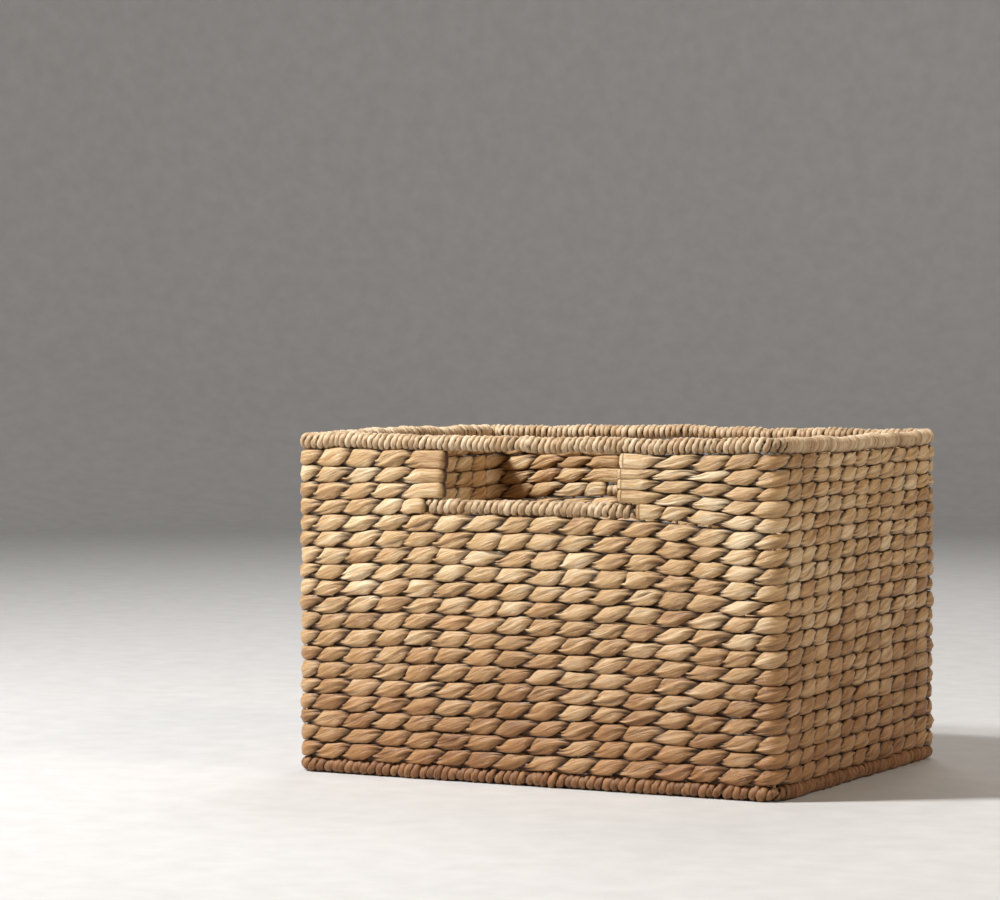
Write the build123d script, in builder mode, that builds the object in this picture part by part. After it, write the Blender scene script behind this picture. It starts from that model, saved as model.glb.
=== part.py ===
"""Rectangular woven storage basket of twined plant fibre on a welded wire frame.

Frame: +X along the long wall, +Y towards the back wall, +Z up. The origin is on the floor, under
the middle of the basket. Every size is in millimetres.

How it is built: two rim rods, four corner posts and thin upright stakes are welded into a cage.
Each course of the wall is one long strand folded in half: the half outside and the half inside
pass either side of every stake. Fifteen courses go all the way round. Above them, the left end of
the basket has four courses and the right end five thinner ones, which stop at a hand opening in
both long walls. A thin cord is wound round the rim rod, the foot rod and the handle rods. The
floor is a woven mat on wires that are welded to the foot rod.
"""

import os

from build123d import *

# ---- driving dimensions ---------------------------------------------------------------------
basket_width = 457.0  # outside, along X
basket_depth = 356.0  # outside, along Y
basket_height = 292.0

rod_diameter = 5.0  # rim, foot and handle rods
stake_diameter = 2.6  # stakes, corner posts, opening side wires and floor wires
frame_bend_radius = 12.0  # centreline of every rod's corner bend

rim_wrap_diameter = 14.0
foot_wrap_diameter = 13.5
foot_flat_depth = 0.25  # how much the foot wrap is flattened where it stands

course_thickness = 13.0  # a wall course, outside face to inside face
full_course_count = 15  # courses that go all the way round
left_courses_beside_opening = 3
right_courses_beside_opening = 4
course_edge_radius = 3.6

opening_width = 161.0  # hand opening, clear
opening_height = 40.0
bar_wrap_diameter = 13.2

stake_spaces_on_long_wall = 15
stake_spaces_on_short_wall = 12
side_wire_room = 9.0  # at least this from an opening's side wire to the next full-height stake

floor_course_thickness = 11.4
floor_course_count = 24
floor_wire_count = 15
floor_underside = 2.3  # height of the mat's underside over the floor

# ---- clearances -----------------------------------------------------------------------------
stake_clearance = 0.1  # a stake in the strands or in a wrap, all round
rod_clearance = 0.05  # a rod in its wrap, all round
course_gap = 0.3  # between two courses, and between a course and a wrap
end_gap = 0.6  # between the ends of two strands, or a strand's end and a bar
mat_gap = 1.2  # between the floor mat and the foot wrap

# ---- worked-out places ----------------------------------------------------------------------
rod_radius = rod_diameter / 2
stake_radius = stake_diameter / 2
rim_wrap_radius = rim_wrap_diameter / 2
foot_wrap_radius = foot_wrap_diameter / 2
course_half = course_thickness / 2
corridor_half = stake_radius + stake_clearance

wall_x = basket_width / 2 - rim_wrap_radius  # the middle of the short walls
wall_y = basket_depth / 2 - rim_wrap_radius  # the middle of the long walls
rim_rod_z = basket_height - rim_wrap_radius
foot_rod_z = foot_wrap_radius - foot_flat_depth

opening_top = rim_rod_z - rim_wrap_radius
opening_bottom = opening_top - opening_height
bar_wrap_radius = bar_wrap_diameter / 2
bar_rod_z = opening_bottom - bar_wrap_radius

full_courses_bottom = foot_rod_z + foot_wrap_radius + course_gap / 2
full_courses_top = bar_rod_z - bar_wrap_radius - course_gap / 2
full_course_pitch = (full_courses_top - full_courses_bottom) / full_course_count

long_pitch = 2 * wall_x / stake_spaces_on_long_wall
short_pitch = 2 * wall_y / stake_spaces_on_short_wall
long_wall_xs = [-wall_x + k * long_pitch for k in range(1, stake_spaces_on_long_wall)]
short_wall_ys = [-wall_y + k * short_pitch for k in range(1, stake_spaces_on_short_wall)]

side_wire_x = opening_width / 2 + course_half  # the wire at each side of an opening
bar_end_stake_x = min(x for x in long_wall_xs if x > side_wire_x + side_wire_room)
bar_half = bar_end_stake_x - course_half - end_gap
bar_length = 2 * bar_half
under_bar_xs = [x for x in long_wall_xs if abs(x) < bar_half]
beside_xs = [x for x in long_wall_xs if x > bar_half]

corner_offset = frame_bend_radius * (1 - 0.5**0.5)  # a post stands on the middle of the bend
post_places = [
    (sx * (wall_x - corner_offset), sy * (wall_y - corner_offset))
    for sx in (-1, 1)
    for sy in (-1, 1)
]
full_height_places = (
    [(sx * x, sy * wall_y) for x in beside_xs for sx in (-1, 1) for sy in (-1, 1)]
    + [(sx * wall_x, y) for y in short_wall_ys for sx in (-1, 1)]
    + post_places
)
side_wire_places = [(sx * side_wire_x, sy * wall_y) for sx in (-1, 1) for sy in (-1, 1)]
under_bar_places = [(x, sy * wall_y) for x in under_bar_xs for sy in (-1, 1)]

floor_course_half = floor_course_thickness / 2
floor_z = floor_underside + floor_course_half  # the middle of the mat
floor_half_x = wall_x - foot_wrap_radius - mat_gap
floor_half_y = wall_y - foot_wrap_radius - mat_gap
floor_course_pitch = 2 * floor_half_y / floor_course_count
floor_course_width = floor_course_pitch - course_gap
floor_path_x = floor_half_x - floor_course_half  # where a floor strand turns round its end wire
floor_wire_pitch = 2 * floor_path_x / (floor_wire_count - 1)
floor_wire_xs = [-floor_path_x + k * floor_wire_pitch for k in range(floor_wire_count)]
floor_wire_half = wall_y - stake_radius - course_gap  # its ends stop short of the stakes

os.makedirs("parts", exist_ok=True)


def save(label, piece):
    """Labels a finished piece and writes it as one STEP file."""
    piece.label = label
    export_step(piece, f"parts/{label}.step")


# ---- the welded wire frame ------------------------------------------------------------------
def ring_tube(height, outer_radius, bore_radius=0.0):
    """A round bar or tube bent to the basket's rectangle, with its middle at a height."""
    with BuildSketch(Plane.XY.offset(height)) as outline:
        RectangleRounded(2 * wall_x, 2 * wall_y, frame_bend_radius)
    path = outline.sketch.wire()
    with BuildPart() as tube:
        with BuildSketch(Plane(origin=path @ 0, z_dir=path % 0)):
            Circle(outer_radius)
            if bore_radius:
                Circle(bore_radius, mode=Mode.SUBTRACT)
        sweep(path=path)
    return tube.part


rim_rod = ring_tube(rim_rod_z, rod_radius)
save("rim_rod", rim_rod)
foot_rod = ring_tube(foot_rod_z, rod_radius)
save("foot_rod", foot_rod)


def handle_rod(side):
    """The rod under a hand opening. side is -1 for the front wall and 1 for the back wall."""
    with BuildPart() as rod:
        with BuildSketch(Plane.YZ.offset(-bar_half)):
            with Locations((side * wall_y, bar_rod_z)):
                Circle(rod_radius)
        extrude(amount=bar_length)
    return rod.part


front_handle_rod = handle_rod(-1)
save("front_handle_rod", front_handle_rod)
back_handle_rod = handle_rod(1)
save("back_handle_rod", back_handle_rod)


def stakes(places, low, high, welded_to):
    """Upright wires between two heights, their ends shaped to the rods they are welded to."""
    with BuildPart() as wires:
        with BuildSketch(Plane.XY.offset(low)):
            with Locations(*places):
                Circle(stake_radius)
        extrude(amount=high - low)
        for rod in welded_to:
            add(rod, mode=Mode.SUBTRACT)
    return wires.part


for label, places in {
    "corner_posts": post_places,
    "front_stakes": [(sx * x, -wall_y) for x in beside_xs for sx in (-1, 1)],
    "back_stakes": [(sx * x, wall_y) for x in beside_xs for sx in (-1, 1)],
    "left_stakes": [(-wall_x, y) for y in short_wall_ys],
    "right_stakes": [(wall_x, y) for y in short_wall_ys],
}.items():
    save(label, stakes(places, foot_rod_z, rim_rod_z, (foot_rod, rim_rod)))

for label, side, bar in (
    ("front_under_bar_stakes", -1, front_handle_rod),
    ("back_under_bar_stakes", 1, back_handle_rod),
):
    places = [(x, side * wall_y) for x in under_bar_xs]
    save(label, stakes(places, foot_rod_z, bar_rod_z, (foot_rod, bar)))

for label, side, bar in (
    ("front_opening_side_wires", -1, front_handle_rod),
    ("back_opening_side_wires", 1, back_handle_rod),
):
    places = [(sx * side_wire_x, side * wall_y) for sx in (-1, 1)]
    save(label, stakes(places, bar_rod_z, rim_rod_z, (bar, rim_rod)))

with BuildPart() as floor_wires:
    with BuildSketch(Plane.XZ.offset(-floor_wire_half)):
        with Locations(*[(x, floor_z) for x in floor_wire_xs]):
            Circle(stake_radius)
    extrude(amount=2 * floor_wire_half)
    add(foot_rod, mode=Mode.SUBTRACT)
save("floor_wires", floor_wires.part)


# ---- the cord wound round the rods ----------------------------------------------------------
hole_radius = stake_radius + stake_clearance

rim_wound_cord = ring_tube(rim_rod_z, rim_wrap_radius, rod_radius + rod_clearance)
with BuildPart() as rim_wrap:
    add(rim_wound_cord)
    with BuildSketch(Plane.XY.offset(rim_rod_z - rim_wrap_radius)):
        with Locations(*full_height_places, *side_wire_places):
            Circle(hole_radius)
    extrude(amount=rim_wrap_radius, mode=Mode.SUBTRACT)
save("rim_wrap", rim_wrap.part)

foot_wound_cord = ring_tube(foot_rod_z, foot_wrap_radius, rod_radius + rod_clearance)
with BuildPart() as foot_wrap:
    add(foot_wound_cord)
    split(bisect_by=Plane.XY, keep=Keep.TOP)
    with BuildSketch(Plane.XY.offset(foot_rod_z)):
        with Locations(*full_height_places, *under_bar_places):
            Circle(hole_radius)
    extrude(amount=foot_wrap_radius, mode=Mode.SUBTRACT)
    with BuildSketch(Plane.XZ.offset(-wall_y)):
        with Locations(*[(x, floor_z) for x in floor_wire_xs]):
            Circle(hole_radius)
    extrude(amount=2 * wall_y, mode=Mode.SUBTRACT)
save("foot_wrap", foot_wrap.part)


def handle_wrap(side):
    """The cord wound round a handle rod, with a hole for each wire that is welded to the rod."""
    with BuildPart() as wrap:
        with BuildSketch(Plane.YZ.offset(-bar_half)):
            with Locations((side * wall_y, bar_rod_z)):
                Circle(bar_wrap_radius)
                Circle(rod_radius + rod_clearance, mode=Mode.SUBTRACT)
        extrude(amount=bar_length)
        with BuildSketch(Plane.XY.offset(bar_rod_z - bar_wrap_radius)):
            with Locations(*[(x, side * wall_y) for x in under_bar_xs]):
                Circle(hole_radius)
        extrude(amount=bar_wrap_radius, mode=Mode.SUBTRACT)
        with BuildSketch(Plane.XY.offset(bar_rod_z)):
            with Locations(*[(sx * side_wire_x, side * wall_y) for sx in (-1, 1)]):
                Circle(hole_radius)
        extrude(amount=bar_wrap_radius, mode=Mode.SUBTRACT)
    return wrap.part


save("front_handle_wrap", handle_wrap(-1))
save("back_handle_wrap", handle_wrap(1))


# ---- the woven courses ----------------------------------------------------------------------
def folded_strand(corners, bottom, pitch):
    """One course: a strand folded in half round the upright wires along a path with round bends.

    The strand's two halves leave a corridor for the wires, and its outer edges are rounded. The
    course fills a pitch that starts at a height, less half a gap above and below.
    """
    with BuildPart() as course:
        with BuildSketch(Plane.XY.offset(bottom + course_gap / 2)):
            for half_width, mode in ((course_half, Mode.ADD), (corridor_half, Mode.SUBTRACT)):
                with BuildLine():
                    path = FilletPolyline(*corners, radius=frame_bend_radius)
                    offset(path, amount=half_width, side=Side.BOTH, mode=Mode.REPLACE)
                make_face(mode=mode)
        extrude(amount=pitch - course_gap)
        for side in (Axis.Z, -Axis.Z):
            flat = course.faces().sort_by(side)[-1]
            fillet(flat.outer_wire().edges(), course_edge_radius)
    return course.part


for number in range(1, full_course_count + 1):
    start_x = long_wall_xs[(number * 2) % len(long_wall_xs)]
    finish_x = start_x - course_thickness - end_gap
    corners = [
        (start_x, wall_y),
        (wall_x, wall_y),
        (wall_x, -wall_y),
        (-wall_x, -wall_y),
        (-wall_x, wall_y),
        (finish_x, wall_y),
    ]
    bottom = full_courses_bottom + (number - 1) * full_course_pitch
    save(f"course_{number:02d}", folded_strand(corners, bottom, full_course_pitch))

for name, side, count in (
    ("left", -1, left_courses_beside_opening),
    ("right", 1, right_courses_beside_opening),
):
    beside_pitch_z = (opening_top - opening_bottom) / count
    levels = [(full_courses_top, opening_bottom - full_courses_top, bar_end_stake_x)] + [
        (opening_bottom + k * beside_pitch_z, beside_pitch_z, side_wire_x) for k in range(count)
    ]
    for number, (bottom, pitch, end) in enumerate(levels, start=1):
        corners = [
            (side * end, -wall_y),
            (side * wall_x, -wall_y),
            (side * wall_x, wall_y),
            (side * end, wall_y),
        ]
        save(f"{name}_run_{number}", folded_strand(corners, bottom, pitch))


# ---- the floor mat --------------------------------------------------------------------------
with BuildPart() as floor_mat:
    with BuildSketch(Plane.XZ.offset(floor_half_y)):
        with Locations((0, floor_z)):
            SlotCenterToCenter(2 * floor_path_x, floor_course_thickness)
            SlotCenterToCenter(2 * floor_path_x, 2 * corridor_half, mode=Mode.SUBTRACT)
    extrude(amount=-floor_course_width)
    for side in (Axis.Y, -Axis.Y):
        flat = floor_mat.faces().sort_by(side)[-1]
        fillet(flat.outer_wire().edges(), course_edge_radius)
    first_course = floor_mat.part
with BuildPart() as floor_courses:
    with Locations(*[(0, k * floor_course_pitch + course_gap / 2) for k in range(floor_course_count)]):
        add(first_course)
save("floor_courses", floor_courses.part)
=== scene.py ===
"""Looks of a rectangular basket woven from dried stalks on a wire frame, built round its CAD frame.

Every shape is a surface worked out on a grid: a section of the strand carried along a path. The
paths follow the wall's rounded rectangle, which is measured from the frame. Lengths are in
millimetres inside the classes and become metres when a mesh is made.
"""

import logging
import math
from dataclasses import dataclass, field
from enum import Enum
from typing import Any

import bpy
import numpy as np
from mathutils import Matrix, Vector


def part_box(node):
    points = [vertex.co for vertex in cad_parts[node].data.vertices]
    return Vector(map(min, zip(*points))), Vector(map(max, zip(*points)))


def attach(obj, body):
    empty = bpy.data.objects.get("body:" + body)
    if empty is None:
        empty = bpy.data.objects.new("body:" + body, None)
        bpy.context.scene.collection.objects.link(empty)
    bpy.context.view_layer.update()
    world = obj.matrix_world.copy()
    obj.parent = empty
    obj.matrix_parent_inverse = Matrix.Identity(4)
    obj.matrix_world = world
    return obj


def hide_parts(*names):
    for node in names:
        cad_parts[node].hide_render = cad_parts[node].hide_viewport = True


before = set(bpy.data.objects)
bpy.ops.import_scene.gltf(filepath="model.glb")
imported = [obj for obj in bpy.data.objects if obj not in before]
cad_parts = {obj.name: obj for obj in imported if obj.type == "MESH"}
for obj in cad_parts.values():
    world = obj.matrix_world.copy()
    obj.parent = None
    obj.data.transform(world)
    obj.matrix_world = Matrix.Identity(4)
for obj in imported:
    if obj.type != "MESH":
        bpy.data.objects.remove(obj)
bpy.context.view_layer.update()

LOG = logging.getLogger("basket")
METRES = 0.001
MEAN_SINE = 0.64  # the mean size of a sine
BODY = "root"
CORNER_BEND = 12.0  # radius of the rods' middles at a corner of the frame
UPWARD = np.array([0.0, 0.0, 1.0])
Array = np.ndarray
Colour = tuple[float, float, float]


# ---- small helpers on arrays -----------------------------------------------------------------
def unit(vectors: Array) -> Array:
    """Returns the rows of an array of vectors, each divided by its length."""
    return vectors / np.maximum(np.linalg.norm(vectors, axis=1, keepdims=True), 1e-9)


def ease(share: Array) -> Array:
    """Returns 3t^2 - 2t^3 of a share held between 0 and 1."""
    t = np.clip(share, 0.0, 1.0)
    return t * t * (3.0 - 2.0 * t)


def eased_between(values: Array, position: Array) -> Array:
    """Reads a table of values at fractional places, easing from each value to the next.

    Args:
        values: the table, which repeats end to end.
        position: places in the table, in steps.

    Returns:
        One value for each place.
    """
    low = np.floor(position).astype(int)
    share = ease(position - low)
    return values[low % len(values)] * (1.0 - share) + values[(low + 1) % len(values)] * share


def wander(rng: np.random.Generator, reach: Array, step: float, amount: float) -> Array:
    """Returns a slow random drift along a length: a random value about every step, eased between.

    The drift comes back to its first value just past the end, so a closed strand has no seam.
    """
    whole = reach[-1] + (reach[-1] - reach[-2])
    count = max(2, round(whole / step))
    return eased_between(rng.uniform(-amount, amount, count), reach / whole * count)


def lengths_along(points: Array) -> Array:
    """Returns the length travelled at each point of a line of points."""
    steps = np.linalg.norm(np.diff(points, axis=0), axis=1)
    return np.concatenate([[0.0], np.cumsum(steps)])


# ---- sizes read from the frame ---------------------------------------------------------------
@dataclass(frozen=True)
class FrameSizes:
    """The CAD frame's main sizes, in millimetres."""

    wall_x: float
    wall_y: float
    bend: float
    rim_z: float
    rim_radius: float
    foot_z: float
    foot_radius: float
    rod_radius: float
    bar_z: float
    bar_radius: float
    bar_half: float
    side_wire_x: float
    bar_end_stake_x: float
    full_bottom: float
    full_top: float
    floor_z: float
    floor_x: float
    floor_y: float

    @classmethod
    def read(cls) -> "FrameSizes":
        """Measures the CAD nodes' boxes."""
        rod_low, rod_high = (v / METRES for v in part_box("rim_rod"))
        rod_radius = (rod_high.z - rod_low.z) / 2
        rim_low, rim_high = (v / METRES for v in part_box("rim_wrap"))
        foot_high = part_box("foot_wrap")[1] / METRES
        foot_rod_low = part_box("foot_rod")[0] / METRES
        bar_low, bar_high = (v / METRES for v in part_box("front_handle_wrap"))
        side_wires_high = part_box("front_opening_side_wires")[1] / METRES
        wire_low, wire_high = (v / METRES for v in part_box("floor_wires"))
        floor_low, floor_high = (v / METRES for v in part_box("floor_courses"))
        stake_radius = (wire_high.z - wire_low.z) / 2
        run_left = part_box("right_run_1")[0].x / METRES
        first_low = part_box("course_01")[0] / METRES
        last_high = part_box("course_15")[1] / METRES
        course_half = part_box("course_01")[1].x / METRES - (rod_high.x - rod_radius)
        return cls(
            wall_x=rod_high.x - rod_radius,
            wall_y=rod_high.y - rod_radius,
            bend=CORNER_BEND,
            rim_z=(rim_high.z + rim_low.z) / 2,
            rim_radius=(rim_high.z - rim_low.z) / 2,
            foot_z=foot_rod_low.z + rod_radius,
            foot_radius=foot_high.z - foot_rod_low.z - rod_radius,
            rod_radius=rod_radius,
            bar_z=(bar_high.z + bar_low.z) / 2,
            bar_radius=(bar_high.z - bar_low.z) / 2,
            bar_half=bar_high.x,
            side_wire_x=side_wires_high.x - stake_radius,
            bar_end_stake_x=run_left + course_half,
            full_bottom=first_low.z,
            full_top=last_high.z,
            floor_z=(floor_low.z + floor_high.z) / 2,
            floor_x=floor_high.x,
            floor_y=floor_high.y,
        )


# ---- paths -----------------------------------------------------------------------------------
@dataclass
class Track:
    """Points along a path with the directions a strand needs there.

    base is the path, out points away from the inside of the basket, and rise runs across the
    woven face at right angles to the path.
    """

    base: Array
    out: Array
    rise: Array


@dataclass(frozen=True)
class WallPath:
    """The middle of the wall seen from above: a rectangle with round corners.

    Lengths along it start at the middle of the front wall and run to the right, so the right
    wall, the back wall and the left wall follow.
    """

    half_x: float
    half_y: float
    bend: float
    long_spaces: int = 15
    short_spaces: int = 12

    def knots(self) -> tuple[Array, Array, Array]:
        """Returns the lengths, headings and plan points where straights and bends meet."""
        run_x, run_y = self.half_x - self.bend, self.half_y - self.bend
        quarter = math.pi / 2 * self.bend
        pieces = [run_x, quarter, 2 * run_y, quarter, 2 * run_x, quarter, 2 * run_y, quarter, run_x]
        lengths = np.concatenate([[0.0], np.cumsum(pieces)])
        headings = np.radians([0, 0, 90, 90, 180, 180, 270, 270, 360, 360])
        hx, hy = self.half_x, self.half_y
        plan = np.array(
            [(0, -hy), (run_x, -hy), (hx, -run_y), (hx, run_y), (run_x, hy), (-run_x, hy)]
            + [(-hx, run_y), (-hx, -run_y), (-run_x, -hy), (0, -hy)]
        )
        return lengths, headings, plan

    @property
    def length(self) -> float:
        """The whole way round."""
        return float(self.knots()[0][-1])

    def plan(self, s: Array) -> tuple[Array, Array]:
        """Finds the plan point and the heading at lengths along the path.

        On a straight the point moves evenly between its two ends. On a bend it is the bend's
        centre plus the radius times (sin heading, -cos heading).

        Args:
            s: lengths along the path, any number of times round.

        Returns:
            The points, one row of x and y each, and the headings in radians.
        """
        lengths, headings, plan = self.knots()
        s = np.mod(s, self.length)
        heading = np.interp(s, lengths, headings)
        x = np.interp(s, lengths, plan[:, 0])
        y = np.interp(s, lengths, plan[:, 1])
        piece = np.clip(np.searchsorted(lengths, s, side="right") - 1, 0, len(lengths) - 2)
        on_bend = piece % 2 == 1
        centre_x = np.sign(x) * (self.half_x - self.bend)
        centre_y = np.sign(y) * (self.half_y - self.bend)
        x = np.where(on_bend, centre_x + self.bend * np.sin(heading), x)
        y = np.where(on_bend, centre_y - self.bend * np.cos(heading), y)
        return np.stack([x, y], axis=1), heading

    def track(self, s: Array, z: Array) -> Track:
        """Returns the track at lengths along the path and at heights."""
        points, heading = self.plan(s)
        out = np.column_stack([np.sin(heading), -np.cos(heading), np.zeros_like(heading)])
        return Track(np.column_stack([points, z]), out, np.tile(UPWARD, (len(s), 1)))

    def at_front(self, x: float) -> float:
        """Returns the length along the path of a place on the front wall."""
        return x % self.length

    def at_back(self, x: float) -> float:
        """Returns the length along the path of a place on the back wall."""
        return self.length / 2 - x

    def stakes(self) -> Array:
        """Returns the lengths at which a stake or a corner post stands, in order."""
        lengths = self.knots()[0]
        bends = (lengths[1:9:2] + lengths[2:9:2]) / 2
        xs = self.half_x * (2 * np.arange(1, self.long_spaces) / self.long_spaces - 1)
        ys = self.half_y * (2 * np.arange(1, self.short_spaces) / self.short_spaces - 1)
        right = self.length / 4 + ys
        left = self.length * 3 / 4 + ys
        quarter_shift = (lengths[2] + lengths[3]) / 2 - self.length / 4
        sides = np.concatenate([right + quarter_shift, left - quarter_shift])
        return np.sort(
            np.concatenate([np.mod(xs, self.length), self.length / 2 + xs, sides, bends])
        )


# ---- meshes ----------------------------------------------------------------------------------
@dataclass
class Skin:
    """Collects tubes into one mesh, with the values that its material reads at each point."""

    points: list[Array] = field(default_factory=list)
    quads: list[Array] = field(default_factory=list)
    triangles: list[Array] = field(default_factory=list)
    fibre: list[Array] = field(default_factory=list)
    tone: list[Array] = field(default_factory=list)
    hollow: list[Array] = field(default_factory=list)
    count: int = 0

    def add_tube(
        self, rings: Array, closed: bool, fibre: Array, tone: Array, hollow: Array
    ) -> None:
        """Adds a tube whose rings follow each other; an open tube gets a fan at each end.

        Args:
            rings: points by ring and by place round the ring.
            closed: whether the last ring joins the first.
            fibre: each point's place on the strand, along it and round it.
            tone: each point's share of the lighter colour.
            hollow: how much painted shade each point gets for lying deep between strands, from 0 to
                1.
        """
        along, around = rings.shape[:2]
        step = np.arange(along if closed else along - 1)[:, None]
        place = np.arange(around)[None, :]
        here, there = step * around, (step + 1) % along * around
        beside = (place + 1) % around
        quads = np.stack([here + place, there + place, there + beside, here + beside], axis=-1)
        self.quads.append(quads.reshape(-1, 4) + self.count)
        new_points = [rings.reshape(-1, 3)]
        new_fibre, new_tone, new_recess_shade = [fibre.reshape(-1, 3)], [tone.ravel()], [hollow.ravel()]
        if not closed:
            ring = np.arange(around)
            after = (ring + 1) % around
            for row, first, second in ((0, ring, after), (along - 1, after, ring)):
                hub = np.full(around, along * around + len(new_points) - 1)
                fan = np.stack([row * around + first, row * around + second, hub], axis=1)
                self.triangles.append(fan + self.count)
                new_points.append(rings[row].mean(axis=0)[None, :])
                new_fibre.append(fibre[row].mean(axis=0)[None, :])
                new_tone.append(tone[row].mean()[None])
                new_recess_shade.append(hollow[row].mean()[None])
        self.points.append(np.concatenate(new_points))
        self.fibre.append(np.concatenate(new_fibre))
        self.tone.append(np.concatenate(new_tone))
        self.hollow.append(np.concatenate(new_recess_shade))
        self.count += len(self.points[-1])

    def to_object(self, name: str, material: bpy.types.Material) -> bpy.types.Object:
        """Makes the mesh, smooth all over, with its values stored as attributes.

        Args:
            name: the new object's name.
            material: the finish of the whole piece.

        Returns:
            The object, at the origin.
        """
        points = np.concatenate(self.points) * METRES
        quads = np.concatenate(self.quads)
        triangles = np.concatenate(self.triangles) if self.triangles else np.zeros((0, 3), int)
        mesh = bpy.data.meshes.new(name)
        mesh.vertices.add(len(points))
        mesh.vertices.foreach_set("co", points.astype(np.float32).ravel())
        corners = np.concatenate([quads.ravel(), triangles.ravel()])
        sizes = np.concatenate([np.full(len(quads), 4), np.full(len(triangles), 3)])
        starts = np.concatenate([[0], np.cumsum(sizes)[:-1]])
        mesh.loops.add(len(corners))
        mesh.loops.foreach_set("vertex_index", corners.astype(np.int32))
        mesh.polygons.add(len(sizes))
        mesh.polygons.foreach_set("loop_start", starts.astype(np.int32))
        mesh.update(calc_edges=True)
        mesh.validate()
        mesh.polygons.foreach_set("use_smooth", np.ones(len(mesh.polygons), bool))
        fibre = mesh.attributes.new("fibre", "FLOAT_VECTOR", "POINT")
        fibre.data.foreach_set("vector", np.concatenate(self.fibre).astype(np.float32).ravel())
        for label, values in (("tone", self.tone), ("hollow", self.hollow)):
            attribute = mesh.attributes.new(label, "FLOAT", "POINT")
            attribute.data.foreach_set("value", np.concatenate(values).astype(np.float32))
        mesh.materials.append(material)
        made = bpy.data.objects.new(name, mesh)
        bpy.context.scene.collection.objects.link(made)
        LOG.info("%s: %d triangles", name, 2 * len(quads) + len(triangles))
        return made

    def stand_for(
        self, node: str, craft: str, material: bpy.types.Material
    ) -> bpy.types.Object:
        """Makes the piece that is shown instead of a CAD node and rides on the basket.

        Args:
            node: the CAD node.
            craft: how the piece is made, the first word of its name.
            material: the finish of the whole piece.

        Returns:
            The piece.
        """
        made = self.to_object(f"{craft}_{node}", material)
        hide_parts(node)
        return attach(made, BODY)


@dataclass
class Section:
    """The cut shape of a strand and how it is spread into points.

    The outline is a rounded oval: thick along the strand's outward direction, wide across it.
    squareness 2 is an ellipse and more is boxier. gather moves points towards the broad faces.
    """

    around: int
    squareness: float = 2.2
    gather: float = 0.24

    def widths(self, wide: Array) -> Array:
        """Returns the half width at each point, from one row of widths for each side."""
        return np.where(np.sin(self.angles())[None, :] > 0, wide[:, :1], wide[:, 1:])

    def angles(self) -> Array:
        """Returns the angles of the points round the section."""
        even = np.linspace(0.0, 2 * math.pi, self.around, endpoint=False)
        return even - self.gather * np.sin(2 * even)

    def carried(
        self, centre: Array, out: Array, side: Array, thick: Array, wide: Array, relief: Array
    ) -> Array:
        """Carries the section along a line.

        Each point is the centre, plus out times (thick times cosine power + relief times cosine),
        plus side times (wide times sine power + relief times sine). The width may differ on the
        section's two sides.

        Args:
            centre: the line.
            out: the outward direction at each point of the line.
            side: the direction across the strand at each point.
            thick: half the strand's thickness.
            wide: half the strand's width, on the side direction's side and on the other.
            relief: how far the surface stands out, by point of the line and by angle.

        Returns:
            Rings of points.
        """
        angles = self.angles()[None, :]
        power = 2.0 / self.squareness
        across = np.sign(np.cos(angles)) * np.abs(np.cos(angles)) ** power
        beside = np.sign(np.sin(angles)) * np.abs(np.sin(angles)) ** power
        outward = thick[:, None] * across + relief * np.cos(angles)
        sideways = self.widths(wide) * beside + relief * np.sin(angles)
        return (
            centre[:, None, :]
            + outward[:, :, None] * out[:, None, :]
            + sideways[:, :, None] * side[:, None, :]
        )


def directions(centre: Array, out_hint: Array, closed: bool, roll: Array) -> tuple[Array, Array]:
    """Works out a strand's outward and sideways directions.

    Outward is the hint less its part along the line. Sideways is outward crossed with the line's
    direction. Both are then turned about the line by the roll.

    Args:
        centre: the line.
        out_hint: roughly outward at each point.
        closed: whether the line joins up.
        roll: the turn at each point, in radians.

    Returns:
        The outward and the sideways directions.
    """
    if closed:
        ahead = unit(np.roll(centre, -1, axis=0) - np.roll(centre, 1, axis=0))
    else:
        ahead = unit(np.gradient(centre, axis=0))
    out = unit(out_hint - np.sum(out_hint * ahead, axis=1, keepdims=True) * ahead)
    side = np.cross(out, ahead)
    turn, lean = np.cos(roll)[:, None], np.sin(roll)[:, None]
    return out * turn + side * lean, side * turn - out * lean


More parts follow.
